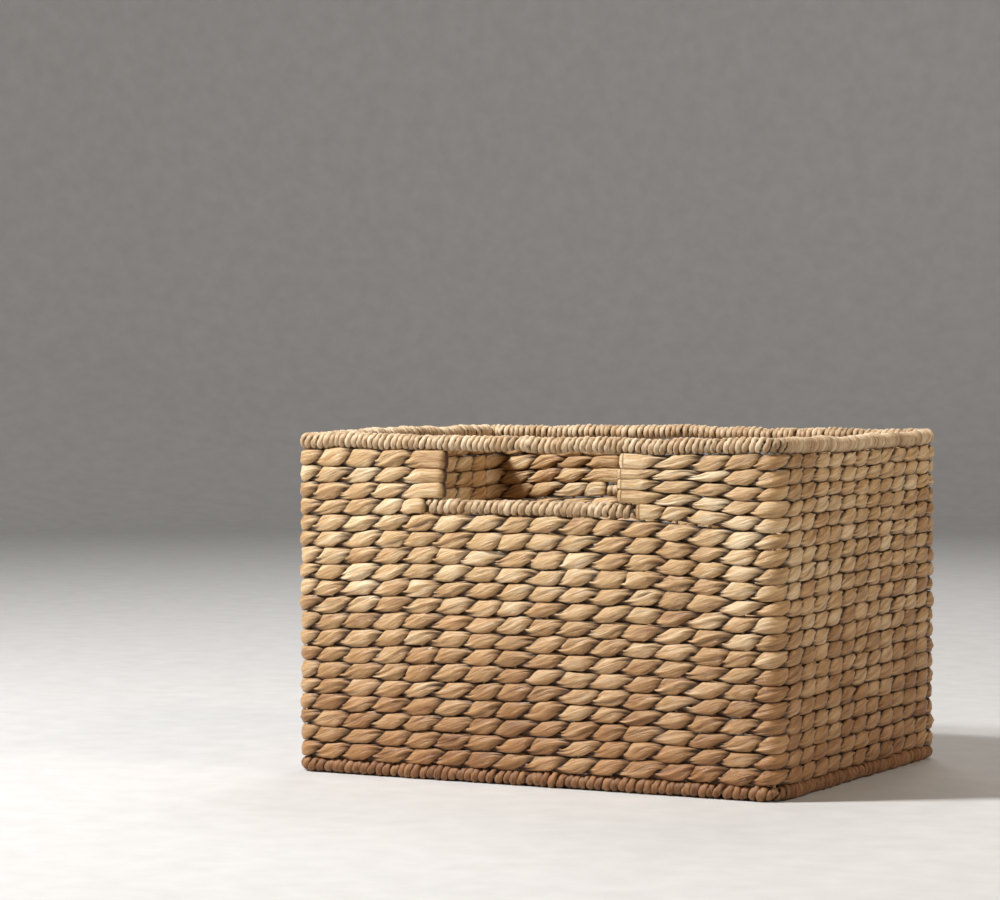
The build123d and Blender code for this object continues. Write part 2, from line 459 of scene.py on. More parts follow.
# ---- two-ply weaving -------------------------------------------------------------------------
@dataclass
class Line:
    """A strand's line, with the section's size and turn at each point.

    out is roughly the section's outward direction. face is 1 where that direction looks out of
    the woven surface and -1 where it looks in. flat is 1 where the strand is a flat strap. base
    and normal give the woven surface's middle and its outward direction.
    """

    base: Array
    normal: Array
    centre: Array
    out: Array
    thick: Array
    wide: Array
    roll: Array
    turn: Array
    face: Array
    flat: Array

    def turned_back(self) -> "Line":
        """Returns the line travelled the other way, with its outward direction the other way."""
        back = {key: values[::-1] for key, values in vars(self).items()}
        for key in ("out", "roll", "face"):
            back[key] = -back[key]
        return Line(**back)

    def fold_to(self, other: "Line", count: int = 10) -> "Line":
        """Makes the fold, half a circle, from this line's end to another line's start.

        Args:
            other: the line that follows.
            count: the number of points on the fold.

        Returns:
            The fold's line, with the section it has at this line's end.
        """
        start, end = self.centre[-1], other.centre[0]
        middle = (start + end) / 2
        arm = start - middle
        radius = np.linalg.norm(arm)
        ahead = unit((self.centre[-1] - self.centre[-3])[None, :])[0]
        angle = np.linspace(0, math.pi, count + 2)[1:-1, None]
        same = {
            key: np.repeat(getattr(self, key)[-1:], count, axis=0)
            for key in ("base", "normal", "thick", "wide", "roll", "turn", "face", "flat")
        }
        return Line(
            centre=middle + arm * np.cos(angle) + ahead * radius * np.sin(angle),
            out=arm / radius * np.cos(angle) + ahead * np.sin(angle),
            **same,
        )

    @staticmethod
    def joined(lines: list["Line"]) -> "Line":
        """Returns lines one after the other as one line."""
        keys = vars(lines[0])
        return Line(**{key: np.concatenate([getattr(line, key) for line in lines]) for key in keys})


@dataclass
class Ply:
    """How two strands twist round each other and round the stakes in one course.

    The turn is half a circle from each stake to the next. A strand's distance from the middle of
    the wall is swing times the cosine of its turn and its height is climb times the sine, so it
    shows as a slanted leaf. Its outer edge keeps to the course's own edge and its inner edge
    reaches over the other strand. climb, the edges and the reaches are shares of half the
    course's height, and each spread is how much a value differs from leaf to leaf. folds holds
    how many folds go round, their share of the height and the length over which they drift;
    creases holds the width and the greatest depth of each. A point gets painted shade when it is
    nearer to the wall's middle than hollow_start, a share of the strand's farthest reach.
    """

    rng: np.random.Generator
    section: Section
    swing: float = 3.05
    climb: float = 0.58
    upper_edge: float = 0.92
    lower_edge: float = 1.15
    upper_reach_at_cross: float = 0.34
    lower_reach_at_cross: float = 0.74
    reach_on_stake: float = 1.2
    thick: float = 3.4
    thick_at_cross: float = 3.55
    strap_swing: float = 4.6
    strap_thick: float = 1.75
    strap_share: float = 0.98
    lenses: int = 64
    shingle: float = 0.06
    fold_depth: float = 0.56
    fold_spread: float = 0.7
    fold_drift: float = 3.0
    crease_spread: float = 0.8
    strap_calm: float = 0.6
    hollow_start: float = 0.70
    hollow_fade: float = 0.42
    climb_spread: float = 0.08
    fullness_spread: float = 0.15
    edge_spread: float = 0.06
    swing_spread: float = 0.5
    thick_spread: float = 0.13
    lift_spread: float = 0.3
    roll_spread: float = 0.14
    tone_spread: float = 0.45
    folds: tuple[tuple[int, float, float], ...] = ((5, 1.0, 34.0), (7, 0.8, 23.0), (10, 0.55, 15.0))
    creases: tuple[tuple[float, float], ...] = ((0.20, 1.3), (0.15, 1.0))

    def lens_values(self, turn: Array, spread: float) -> Array:
        """Returns a random value for each lens, eased from one lens of the strand to the next."""
        return eased_between(self.rng.uniform(-spread, spread, self.lenses), turn / math.pi)

    def line(self, track: Track, turn: Array, half: Array, flat: Array) -> Line:
        """Works out one strand of a course.

        The strand reaches up and down from its own height by shares of half the course that grow
        from a crossing to a stake, but never over the course's edge. It reaches up less than down
        at a crossing, so that a leaf starts as a narrow tail.

        Args:
            track: the course's middle line.
            turn: the strand's turn at each point.
            half: half the course's height at each point.
            flat: 1 where the strand is a flat strap held against its stake.

        Returns:
            The strand's line.
        """
        cosine, sine = np.cos(turn), np.sin(turn)
        size = np.abs(cosine)
        lift = (self.climb + self.lens_values(turn, self.climb_spread)) * sine * (1 - flat)
        fullness = 1.0 + self.lens_values(turn, self.fullness_spread)
        loose = self.lens_values(turn, self.edge_spread)
        sides = []
        for edge, at_cross, sign in (
            (self.upper_edge, self.upper_reach_at_cross, 1.0),
            (self.lower_edge, self.lower_reach_at_cross, -1.0),
        ):
            near = (at_cross + (self.reach_on_stake - at_cross) * size) * fullness
            sides.append(np.minimum(near, edge + loose - lift * sign))
        strap = self.strap_share * flat
        wide = np.stack([half * (side * (1 - flat) + strap) for side in sides], axis=1)
        swing = (self.swing + self.lens_values(turn, self.swing_spread)) * cosine * (1 - flat)
        swing += self.strap_swing * np.sign(cosine) * flat
        thick = self.thick_at_cross + (self.thick - self.thick_at_cross) * size
        thick = thick * (1.0 + self.lens_values(turn, self.thick_spread)) * (1 - flat)
        lift = lift * half + self.lens_values(turn, self.lift_spread) * (1 - flat)
        roll = self.lens_values(turn, self.roll_spread) + self.shingle * np.sign(cosine) * size
        return Line(
            base=track.base,
            normal=track.out,
            centre=track.base + swing[:, None] * track.out + lift[:, None] * track.rise,
            out=track.out,
            thick=thick + self.strap_thick * flat,
            wide=wide,
            roll=roll * (1 - flat),
            turn=turn,
            face=np.sign(cosine),
            flat=flat,
        )

    def relief(self, line: Line, reach: Array) -> Array:
        """Works out the folds and creases on a strand.

        A fold pattern is a constant less the size of a sine of the angle, which makes sharp
        ridges with rounded troughs between them; its phase drifts along the strand. Folds grow
        where the strand is squeezed and fade on a strap. A crease is a narrow groove along a leaf.

        Args:
            line: the strand's line.
            reach: the length travelled at each point.

        Returns:
            Heights in millimetres, by point of the line and by angle.
        """
        angles = self.section.angles()[None, :]
        size = np.abs(np.cos(line.turn))
        uneven = 1.0 + self.lens_values(line.turn, self.fold_spread)
        strength = self.fold_depth * uneven * (1.7 - 0.9 * size)
        height = np.zeros((len(reach), self.section.around))
        for folds, share, step in self.folds:
            drift = wander(self.rng, reach, step, self.fold_drift)
            height += share * (MEAN_SINE - np.abs(np.sin((folds * angles + drift[:, None]) / 2)))
        height *= strength[:, None]
        facing = np.where(line.face > 0, 0.0, math.pi)
        for width, deepest in self.creases:
            place = self.lens_values(line.turn, self.crease_spread)
            depth = np.maximum(self.lens_values(line.turn, deepest) - 0.2 * deepest, 0.0) * size
            offset = np.angle(np.exp(1j * (angles - (facing + place)[:, None])))
            height -= depth[:, None] * np.exp(-((offset / width) ** 2))
        return height * (1.0 - self.strap_calm * line.flat)[:, None]

    def add(self, skin: Skin, line: Line) -> None:
        """Carries the section along a closed line and adds it to a mesh.

        Args:
            skin: the mesh to add to.
            line: the strand's line.
        """
        out, side = directions(line.centre, line.out, True, line.roll)
        reach = lengths_along(line.centre)
        relief = self.relief(line, reach)
        rings = self.section.carried(line.centre, out, side, line.thick, line.wide, relief)
        angles = self.section.angles()[None, :]
        start = self.rng.uniform(0, 900)
        fibre = np.stack(
            [
                np.repeat((reach + start)[:, None], self.section.around, axis=1),
                self.section.widths(line.wide) * np.sin(angles),
                line.thick[:, None] * np.cos(angles) + start,
            ],
            axis=-1,
        )
        tone = 0.5 + self.lens_values(line.turn, self.tone_spread)
        tone = np.repeat(tone[:, None], self.section.around, axis=1)
        # painted shade: points deep between the strands, and points in crease troughs, are marked
        # to be darkened
        away = np.abs(np.sum((rings - line.base[:, None, :]) * line.normal[:, None, :], axis=2))
        away = away / (self.swing + self.thick)
        depth = ease((self.hollow_start - away) / self.hollow_fade)
        hollow = np.clip(depth + np.clip(-relief * 0.5, 0, 1), 0.0, 1.0)
        skin.add_tube(rings, True, fibre, tone, hollow)


@dataclass
class Wall:
    """The shape of the woven wall: where each course runs and how it wanders.

    tuck is how far the top course reaches under the rim cord. The sinks are how much lower the
    courses lie at the corners than at the openings. The shares are the heights, beside an
    opening, of the courses over the bar. Below calm_height the wall wanders less.
    """

    sizes: FrameSizes
    path: WallPath
    rng: np.random.Generator
    full_courses: int = 15
    tuck: float = 0.9
    left_sink: float = 4.6
    right_sink: float = 8.2
    calm_height: float = 60.0
    before_bar_end: float = 8.0
    before_corner: float = 6.0
    left_shares: tuple[float, ...] = (12.6, 11.6, 15.8)
    right_shares: tuple[float, ...] = (10.4, 9.4, 7.4, 12.8)
    waves: list[tuple[int, float, float, float]] = field(default_factory=list)

    def __post_init__(self) -> None:
        """Draws the waves that the whole wall shares."""
        times_round, climbs = (3, 5, 8, 13, 19, 29), (0.02, 0.04, 0.09, 0.2, 0.33, 0.41)
        amounts = (0.56, 0.48, 0.40, 0.36, 0.32, 0.28)
        for times, climb, amount in zip(times_round, climbs, amounts):
            self.waves.append((times, climb, self.rng.uniform(0, 6.3), amount))

    def waviness(self, s: Array, z: Array) -> Array:
        """Returns the shared rise and fall: a sum of sines in length and height."""
        total = np.zeros_like(s)
        for times, climb, start, amount in self.waves:
            total += amount * np.sin(2 * math.pi * times * s / self.path.length + climb * z + start)
        return total * np.clip(z / self.calm_height, 0.0, 1.0)

    def spread(self, x: Array) -> Array:
        """Returns how far a place is from the opening to the corner, from 0 to 1, eased."""
        start = self.sizes.bar_half - self.before_bar_end
        end = self.sizes.wall_x - self.before_corner
        return ease((np.abs(x) - start) / (end - start))

    def full_top(self, x: Array) -> Array:
        """Returns the top of the courses that go all round: high under a bar, low at corners."""
        sink = np.where(x > 0, self.right_sink, self.left_sink)
        return self.sizes.full_top + self.tuck - sink * self.spread(x)

    def full_course(self, number: int, s: Array) -> tuple[Array, Array]:
        """Returns the middle height and half the height of a course that goes all round."""
        x = self.path.plan(s)[0][:, 0]
        pitch = (self.full_top(x) - self.sizes.full_bottom) / self.full_courses
        low = self.sizes.full_bottom + (number - 1) * pitch
        return self.between(s, low, low + pitch)

    def between(self, s: Array, low: Array, high: Array) -> tuple[Array, Array]:
        """Returns the middle and half the height between two edges that wander with the wall."""
        low, high = low + self.waviness(s, low), high + self.waviness(s, high)
        return (low + high) / 2, (high - low) / 2

    def run_course(self, shares: tuple[float, ...], number: int, s: Array) -> tuple[Array, Array]:
        """Finds a course that stops at the openings.

        Beside an opening the lowest course is level with the bar and the others have their own
        shares of the opening's height. At the corners all of them are equally high.

        Args:
            shares: the heights beside the opening of the courses over the bar, lowest first.
            number: the course, from 1 at the bar.
            s: lengths along the wall.

        Returns:
            The middle height and half the height.
        """
        x = self.path.plan(s)[0][:, 0]
        top = self.sizes.rim_z - self.sizes.rim_radius + self.tuck
        bar_top = self.sizes.bar_z + self.sizes.bar_radius
        steps = np.cumsum((0.0,) + shares) / sum(shares) * (top - bar_top)
        beside = np.concatenate([[self.sizes.full_top + self.tuck], bar_top + steps])
        low = self.full_top(x)
        count = len(shares) + 1
        spread = self.spread(x)
        edges = [
            beside[k] * (1 - spread) + (low + (top - low) * k / count) * spread
            for k in (number - 1, number)
        ]
        return self.between(s, edges[0], edges[1])


@dataclass
class CourseMaker:
    """Builds the woven courses of the wall.

    step is the length between two rings of a strand and unevenness how far a leaf is moved along
    its course, as a share of a stake space. A strand that folds round an end wire is held
    straight there, then turns from strap to leaf over strap_fade. slack is how far its fold may
    sit from its place.
    """

    wall: Wall
    material: bpy.types.Material
    step: float = 2.15
    unevenness: float = 0.11
    held_at_bar: float = 5.0
    held_beside: float = 14.0
    strap_fade: float = 15.0
    slack: float = 1.6
    section: Section = field(default_factory=lambda: Section(around=24))

    def dress(self, skin: Skin, node: str) -> bpy.types.Object:
        """Makes a woven piece, which stands for its CAD node."""
        return skin.stand_for(node, "woven", self.material)

    def full(self, number: int, seed: int) -> bpy.types.Object:
        """Makes a course that goes all the way round as two closed strands.

        Each strand starts where it passes inside a stake, another one for each course, so that
        the place where its streaks meet is never in view from outside.

        Args:
            number: the course, from 1 at the foot.
            seed: the seed of its random draws.

        Returns:
            The course's object.
        """
        path = self.wall.path
        stakes = path.stakes()
        round_once = np.linspace(0.0, path.length, int(path.length / self.step), endpoint=False)
        knots = np.concatenate([stakes, stakes + path.length])
        ply = Ply(np.random.default_rng(seed), self.section, lenses=len(stakes))
        moves = ply.rng.uniform(-self.unevenness, self.unevenness, len(stakes))
        start = 2 * int(ply.rng.integers(len(stakes) // 2 - 1))
        skin = Skin()
        for strand in (0, 1):
            s = round_once + stakes[start + 1 - strand]
            index = np.interp(s, knots, np.arange(len(knots)))
            index = index + eased_between(moves, index)
            middle, half = self.wall.full_course(number, s)
            turn = math.pi * (index + strand)
            ply.add(skin, ply.line(path.track(s, middle), turn, half, np.zeros_like(s)))
        return self.dress(skin, f"course_{number:02d}")

    def run(self, side: int, number: int, seed: int) -> bpy.types.Object:
        """Makes a course between the two openings: one strand folded round the end wires.

        Args:
            side: 1 for the right end of the basket and -1 for the left end.
            number: the course, from 1 at the bar.
            seed: the seed of its random draws.

        Returns:
            The course's object.
        """
        path, sizes = self.wall.path, self.wall.sizes
        end_x = sizes.bar_end_stake_x if number == 1 else sizes.side_wire_x
        held = self.held_at_bar if number == 1 else self.held_beside
        stakes = path.stakes()
        if side > 0:
            first, last = path.at_front(end_x), path.at_back(end_x)
        else:
            first, last = path.at_back(-end_x), path.at_front(-end_x)
        slack = np.random.default_rng(seed + 500).uniform(-self.slack, self.slack, 2)
        first, last = first + slack[0], last + slack[1]
        clear = sizes.bar_end_stake_x + self.held_at_bar - end_x
        inner = stakes[(stakes > first + clear) & (stakes < last - clear)]
        s = np.linspace(first, last, int((last - first) / self.step))
        knots = np.concatenate([[first, first + held], inner, [last - held, last]])
        steps = np.concatenate([[0, 0], np.arange(1, len(inner) + 1), [len(inner) + 1] * 2])
        index = np.interp(s, knots, steps)
        shares = self.wall.right_shares if side > 0 else self.wall.left_shares
        middle, half = self.wall.run_course(shares, number, s)
        flat = 1.0 - ease((np.minimum(s - first, last - s) - held * 0.7) / self.strap_fade)
        ply = Ply(np.random.default_rng(seed), self.section)
        moves = ply.rng.uniform(-self.unevenness, self.unevenness, len(inner) + 4)
        index = index + eased_between(moves, index) * (1.0 - flat)
        skin = Skin()
        self.looped(skin, ply, path.track(s, middle), index, half, flat)
        name = "right" if side > 0 else "left"
        return self.dress(skin, f"{name}_run_{number}")

    def looped(
        self, skin: Skin, ply: Ply, track: Track, index: Array, half: Array, flat: Array
    ) -> None:
        """Adds a course that is one strand folded at both ends.

        Args:
            skin: the mesh to add to.
            ply: the twist.
            track: the course's middle line.
            index: the turn, counted in stakes.
            half: half the course's height.
            flat: 1 where the strands are straps.
        """
        outer = ply.line(track, math.pi * index, half, flat)
        inner = ply.line(track, math.pi * (index + 1), half, flat).turned_back()
        loop = [outer, outer.fold_to(inner), inner, inner.fold_to(outer)]
        ply.add(skin, Line.joined(loop))


# ---- wound cord ------------------------------------------------------------------------------
@dataclass
class Winding:
    """Thin two-ply cord wound round a rod, each turn a little different.

    slant is how far a turn leans along the rod, lay the turns that the cord's own twist makes in
    one turn round the rod, and uneven how far a turn may slide. squash is how hard the cord is
    pressed on the rod, and wide_share its width as a share of the pitch. The cord's two ends are
    pinched over pinched_turns.
    """

    rng: np.random.Generator
    rod_radius: float
    outside_radius: float
    pitch: float
    slant: float = 0.7
    lay: float = 1.5
    uneven: float = 1.6
    squash: float = 0.98
    wide_share: float = 1.02
    wide_spread: float = 0.1
    roll_spread: float = 0.22
    tone_spread: float = 0.45
    thick_spread: float = 0.09
    pinched_turns: float = 0.12
    groove_depth: float = 0.9
    groove_width: float = 0.42
    # where painted shade starts and how it fades, as shares of the cord's outside radius
    hollow_start: float = 0.90
    hollow_fade: float = 0.26
    per_turn: int = 18
    section: Section = field(
        default_factory=lambda: Section(around=14, squareness=2.0, gather=0.12)
    )

    def wind(self, skin: Skin, length: float, place: Any, closed: bool) -> None:
        """Winds the cord along a rod.

        The angle round the rod grows evenly with the length, and the cord's middle is the rod's
        middle plus a radius times (out cosine + rise sine).

        Args:
            skin: the mesh to add to.
            length: the rod's wound length.
            place: a function from lengths to a Track of the rod's middle.
            closed: whether the rod is a ring.
        """
        turns = round(length / self.pitch)
        pitch = length / turns
        count = turns * self.per_turn
        angle = np.linspace(0, 2 * math.pi * turns, count, endpoint=False)
        at = angle / (2 * math.pi)
        shift = eased_between(self.rng.uniform(-1.0, 1.0, turns) ** 3, at + 0.5) * self.uneven
        s = at * pitch + shift + self.slant * np.sin(angle)
        if not closed:
            s = np.clip(s, 0.0, length)
        track = place(s)
        spread = self.thick_spread * self.uneven
        fat = 1.0 + eased_between(self.rng.uniform(-spread, spread, turns), at + 0.5)
        thick = (self.outside_radius - self.rod_radius) / 2 * fat
        bulge = eased_between(self.rng.uniform(-self.wide_spread, self.wide_spread, turns), at)
        wide = pitch / 2 * self.wide_share * (1.0 + bulge)
        wide = np.stack([wide, wide], axis=1)
        middle = self.rod_radius + thick * self.squash
        out = np.cos(angle)[:, None] * track.out + np.sin(angle)[:, None] * track.rise
        centre = track.base + middle[:, None] * out
        if not closed:
            pinch = np.clip(np.minimum(at, turns - at) / self.pinched_turns, 0.15, 1.0)
            thick, wide = thick * pinch, wide * pinch[:, None]
        roll = eased_between(self.rng.uniform(-self.roll_spread, self.roll_spread, turns), at)
        outward, side = directions(centre, out, closed, roll)
        relief = self.relief(at, angle, turns)
        rings = self.section.carried(centre, outward, side, thick, wide, relief)
        angles = self.section.angles()[None, :]
        reach = lengths_along(centre)
        fibre = np.stack(
            [
                np.repeat(reach[:, None], self.section.around, axis=1),
                wide[:, :1] * np.sin(angles),
                thick[:, None] * np.cos(angles),
            ],
            axis=-1,
        )
        tone = eased_between(self.rng.uniform(-self.tone_spread, self.tone_spread, turns), at)
        tone = np.repeat(0.5 + tone[:, None], self.section.around, axis=1)
        # painted shade: points of the cord that lie close to the rod are marked to be darkened
        away = np.linalg.norm(rings - track.base[:, None, :], axis=2) / self.outside_radius
        hollow = ease((self.hollow_start - away) / self.hollow_fade)
        skin.add_tube(rings, closed, fibre, tone, hollow)

    def relief(self, at: Array, angle: Array, turns: int) -> Array:
        """Works out the groove between the cord's two plies, and its fibres.

        The groove winds round the cord: its angle grows with the angle round the rod.

        Args:
            at: the place along the cord, in turns round the rod.
            angle: the angle round the rod.
            turns: the number of turns.

        Returns:
            Heights in millimetres, by ring and by angle round the cord.
        """
        around = self.section.angles()[None, :]
        groove = self.lay * angle + 1.2 * eased_between(self.rng.uniform(-1, 1, turns), at)
        depth = self.groove_depth + eased_between(self.rng.uniform(-0.35, 0.35, turns), at)
        beside = np.sin(around - groove[:, None]) / self.groove_width
        height = -depth[:, None] * np.exp(-(beside**2))
        drift = eased_between(self.rng.uniform(-2, 2, turns * 2), at * 2)
        return height + 0.10 * np.sin(6 * around + drift[:, None])


# ---- shader maths ----------------------------------------------------------------------------
class Value:
    """A number in a shader: wraps a socket so that arithmetic adds Math nodes."""

    def __init__(self, graph: "Graph", socket: Any) -> None:
        """Keeps the graph and the socket or number."""
        self.graph = graph
        self.socket = socket

    def _maths(self, operation: str, first: Any, second: Any, clamp: bool = False) -> "Value":
        """Adds one Math node on two values."""
        settings = {"operation": operation, "use_clamp": clamp}
        node = self.graph.node("ShaderNodeMath", settings, {0: first, 1: second})
        return Value(self.graph, node.outputs[0])

    def __add__(self, other: Any) -> "Value":
        """self + other."""
        return self._maths("ADD", self, other)

    __radd__ = __add__

    def __sub__(self, other: Any) -> "Value":
        """self - other."""
        return self._maths("SUBTRACT", self, other)

    def __rsub__(self, other: Any) -> "Value":
        """other - self."""
        return self._maths("SUBTRACT", other, self)

    def __mul__(self, other: Any) -> "Value":
        """self * other."""
        return self._maths("MULTIPLY", self, other)

    __rmul__ = __mul__

    def held(self) -> "Value":
        """Returns the value held between 0 and 1."""
        return self._maths("ADD", self, 0.0, clamp=True)


class Graph:
    """A material's node tree."""

    def __init__(self, name: str) -> None:
        """Starts an empty material with an output and a main shader."""
        self.material = bpy.data.materials.new(name)
        self.material.use_nodes = True
        self.tree = self.material.node_tree
        self.tree.nodes.clear()
        self.shader = self.node("ShaderNodeBsdfPrincipled")
        self.node("ShaderNodeOutputMaterial", {}, {"Surface": self.shader.outputs["BSDF"]})

    def node(
        self,
        kind: str,
        settings: dict[str, Any] | None = None,
        inputs: dict[Any, Any] | None = None,
    ) -> bpy.types.Node:
        """Adds a node.

        Args:
            kind: the node's type.
            settings: its properties, set first; a ramp's stops go under "stops".
            inputs: values, sockets or Values by socket name or number.

        Returns:
            The node.
        """
        made = self.tree.nodes.new(kind)
        for key, value in (settings or {}).items():
            if key == "stops":
                ramp = made.color_ramp
                while len(ramp.elements) < len(value):
                    ramp.elements.new(0.5)
                for stop, (place, colour) in zip(ramp.elements, value):
                    stop.position = place
                    stop.color = (*colour, 1.0)
            else:
                setattr(made, key, value)
        self.feed(made, inputs or {})
        return made

    def feed(self, node: bpy.types.Node, inputs: dict[Any, Any]) -> None:
        """Sets or links a node's sockets.

        Args:
            node: the node.
            inputs: values, sockets or Values by socket name or number.
        """
        for key, value in inputs.items():
            source = value.socket if isinstance(value, Value) else value
            if isinstance(source, bpy.types.NodeSocket):
                self.tree.links.new(source, node.inputs[key])
            else:
                node.inputs[key].default_value = source

    def attribute(self, name: str, output: str = "Fac") -> Value:
        """Returns a mesh attribute."""
        node = self.node("ShaderNodeAttribute", {"attribute_name": name})
        return Value(self, node.outputs[output])

    def stretched(self, vector: Any, scale: tuple[float, float, float]) -> Any:
        """Returns a vector multiplied axis by axis."""
        node = self.node("ShaderNodeVectorMath", {"operation": "MULTIPLY"}, {0: vector, 1: scale})
        return node.outputs[0]

    def noise(self, vector: Any, scale: float, detail: float, rough: float = 0.55) -> Value:
        """Returns smooth noise from 0 to 1."""
        inputs = {"Vector": vector, "Scale": scale, "Detail": detail, "Roughness": rough}
        return Value(self, self.node("ShaderNodeTexNoise", {}, inputs).outputs[0])

    def ramp(self, value: Value, stops: list[tuple[float, Colour]]) -> Any:
        """Returns a colour read from a ramp."""
        return self.node("ShaderNodeValToRGB", {"stops": stops}, {0: value}).outputs[0]

    def mixed(self, share: Any, first: Any, second: Any, blend: str = "MIX") -> Any:
        """Returns two colours mixed by a share."""
        settings = {"data_type": "RGBA", "blend_type": blend, "clamp_factor": True}
        first, second = ((*c, 1.0) if isinstance(c, tuple) else c for c in (first, second))
        return self.node("ShaderNodeMix", settings, {0: share, 6: first, 7: second}).outputs[2]

    def finish(self, colour: Any, roughness: Any, height: Value, depth: float) -> None:
        """Feeds the shader's colour, roughness and bump.

        Args:
            colour: the base colour.
            roughness: the roughness.
            height: the bump's height, from 0 to about 1.
            depth: the depth in metres of a bump of height 1.
        """
        raised = {"Strength": 1.0, "Distance": depth, "Height": height}
        normal = self.node("ShaderNodeBump", {}, raised).outputs[0]
        self.feed(self.shader, {"Base Color": colour, "Roughness": roughness, "Normal": normal})


PINK_TINT = (1.05, 0.93, 0.86)  # what the pinker patches of a stalk are multiplied by
LOW_SHADE_TINT = (0.56, 0.36, 0.19)  # painted shade: what the rows near the floor are multiplied by, darker and browner
LOW_SHADE_TOP = 0.19  # the height in metres below which painted shade darkens the rows


@dataclass(frozen=True)
class StalkFinish:
    """Dried stalk fibre: straw to tan, satin, with fine streaks along each strand."""

    name: str
    deep: Colour
    middle: Colour
    light: Colour
    # the colour of the painted shade between strands and in creases
    hollow: Colour
    roughness: float
    streak_across: float
    bump: float
    # how strongly painted shade darkens the rows near the floor
    low_shade: float = 0.8

    def make(self) -> bpy.types.Material:
        """Builds the material.

        Streaks are noise stretched along the strand. The colour goes from deep to light with the
        strand's own tone, slow blotches and the streaks; painted shade darkens it between strands
        and towards the floor.
        """
        graph = Graph(self.name)
        fibre = graph.attribute("fibre", "Vector")
        across = self.streak_across
        streaks = graph.noise(graph.stretched(fibre, (0.05, across, across)), 1.0, 5.0, 0.62)
        hairs = graph.noise(graph.stretched(fibre, (0.16, across * 3, across * 3)), 1.0, 3.0, 0.6)
        blotches = graph.noise(graph.stretched(fibre, (0.035, 0.22, 0.22)), 1.0, 3.0)
        where = graph.node("ShaderNodeTexCoord").outputs["Object"]
        broad = graph.noise(where, 9.0, 2.0)
        tone = graph.attribute("tone")
        lightness = (
            tone * 0.5 + (blotches - 0.5) * 1.2 + (streaks - 0.5) * 1.2 + (broad - 0.5) * 0.5 + 0.2
        ).held()
        stops = [(0.0, self.deep), (0.45, self.middle), (1.0, self.light)]
        colour = graph.ramp(lightness, stops)
        patches = graph.noise(graph.stretched(fibre, (0.012, 0.02, 0.02)), 1.0, 1.0)
        pink = ((patches - 0.42) * 3.0).held()
        colour = graph.mixed(pink * 0.55, colour, PINK_TINT, "MULTIPLY")
        height = Value(graph, graph.node("ShaderNodeSeparateXYZ", {}, {0: where}).outputs["Z"])
        # painted shade: the rows near the floor are darkened and browned as if they lay in shadow
        low = ((LOW_SHADE_TOP - height) * 6.0).held()
        colour = graph.mixed(low * self.low_shade, colour, LOW_SHADE_TINT, "MULTIPLY")
        # the fine dark cracks along the fibres take the same dark colour as the painted shade
        cracks = ((0.36 - hairs) * 5.0).held()
        colour = graph.mixed(cracks * 0.55, colour, self.hollow)
        # painted shade between strands and in creases, read from the mesh's shade values
        colour = graph.mixed(graph.attribute("hollow") * 0.92, colour, self.hollow)
        rough = (self.roughness + (blotches - 0.5) * 0.3 + (streaks - 0.5) * 0.25).held()
        relief = streaks * 0.8 + hairs * 0.35 + blotches * 0.6
        graph.finish(colour, rough, relief, self.bump)
        gloss = {"Specular IOR Level": 0.5, "Sheen Weight": 0.12, "Sheen Roughness": 0.4}
        graph.feed(graph.shader, gloss)
        return graph.material


@dataclass(frozen=True)
class WireFinish:
    """Dull brown lacquer on iron wire."""

    name: str = "wire_lacquer"
    colour: Colour = (0.42, 0.29, 0.16)
    worn: Colour = (0.62, 0.48, 0.30)

    def make(self) -> bpy.types.Material:
        """Builds the material: lacquer with worn patches and a slightly rough face."""
        graph = Graph(self.name)
        where = graph.node("ShaderNodeTexCoord").outputs["Object"]
        wear = graph.noise(where, 140.0, 4.0)
        grain = graph.noise(where, 900.0, 2.0)
        colour = graph.mixed(((wear - 0.45) * 4.0).held(), self.colour, self.worn)
        graph.finish(colour, (0.5 + (wear - 0.5) * 0.4).held(), grain + wear, 0.0001)
        graph.feed(graph.shader, {"Metallic": 0.1})
        return graph.material


class Finish(Enum):
    """The finishes of the basket's pieces."""

    WALL = StalkFinish(
        name="stalk_weave",
        deep=(0.33, 0.165, 0.058),
        middle=(0.60, 0.385, 0.175),
        light=(0.90, 0.735, 0.49),
        hollow=(0.055, 0.021, 0.007),
        roughness=0.36,
        streak_across=0.6,
        bump=0.0014,
    )
    CORD = StalkFinish(
        name="wound_cord",
        deep=(0.33, 0.20, 0.095),
        middle=(0.56, 0.395, 0.225),
        light=(0.84, 0.70, 0.50),
        hollow=(0.065, 0.028, 0.010),
        roughness=0.46,
        streak_across=0.9,
        bump=0.0007,
    )
    # painted shade: a darker copy of the cord finish, for the foot cord that sits low in the shade
    # near the floor
    FOOT = StalkFinish(
        name="foot_cord",
        deep=(0.20, 0.095, 0.035),
        middle=(0.38, 0.215, 0.092),
        light=(0.60, 0.41, 0.225),
        hollow=(0.07, 0.028, 0.010),
        roughness=0.6,
        streak_across=0.9,
        bump=0.0006,
    )
    WIRE = WireFinish()


